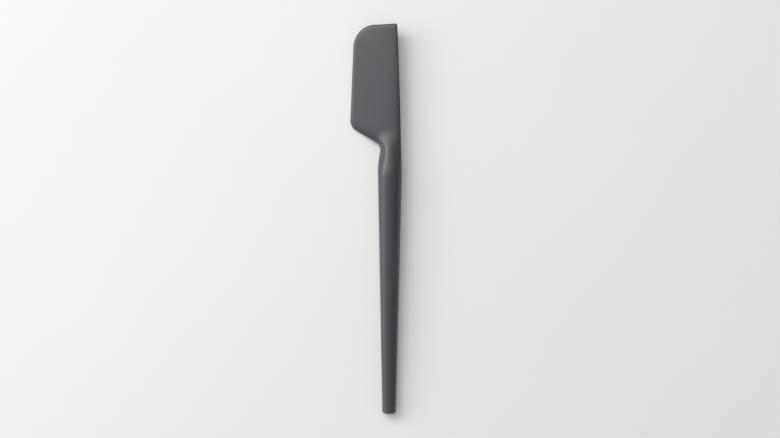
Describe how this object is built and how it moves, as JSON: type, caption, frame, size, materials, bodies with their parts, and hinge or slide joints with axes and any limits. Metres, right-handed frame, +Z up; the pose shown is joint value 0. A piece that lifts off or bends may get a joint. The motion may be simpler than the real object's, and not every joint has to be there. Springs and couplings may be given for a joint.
{
  "type": "offset silicone spatula",
  "caption": "Slim one-piece silicone spatula: thin flexible blade set to one side of a round tapered handle, moulded round hidden nylon and steel inserts.",
  "frame": {"origin": "under the middle of the bounding box, on the table that the spatula lies on", "axes": "+Y along the spatula towards the blade's tip, +X towards the blade's straight back edge, +Z up; the spatula lies as it comes to rest, on its handle's taper and its blade's heel, so the handle's axis rises 1.25 degrees towards the tip and the blade leans 17 degrees down to its front edge"},
  "size_m": [0.0386, 0.2898, 0.0178],
  "materials": {
    "silicone": "matte moulded silicone",
    "nylon": "as moulded, glass-filled nylon",
    "stainless": "mill finish strip, deburred"
  },
  "bodies": {
    "spatula": {"silicone_overmould": "silicone", "handle_core": "nylon", "blade_stiffener": "stainless"}
  },
  "joints": []
}
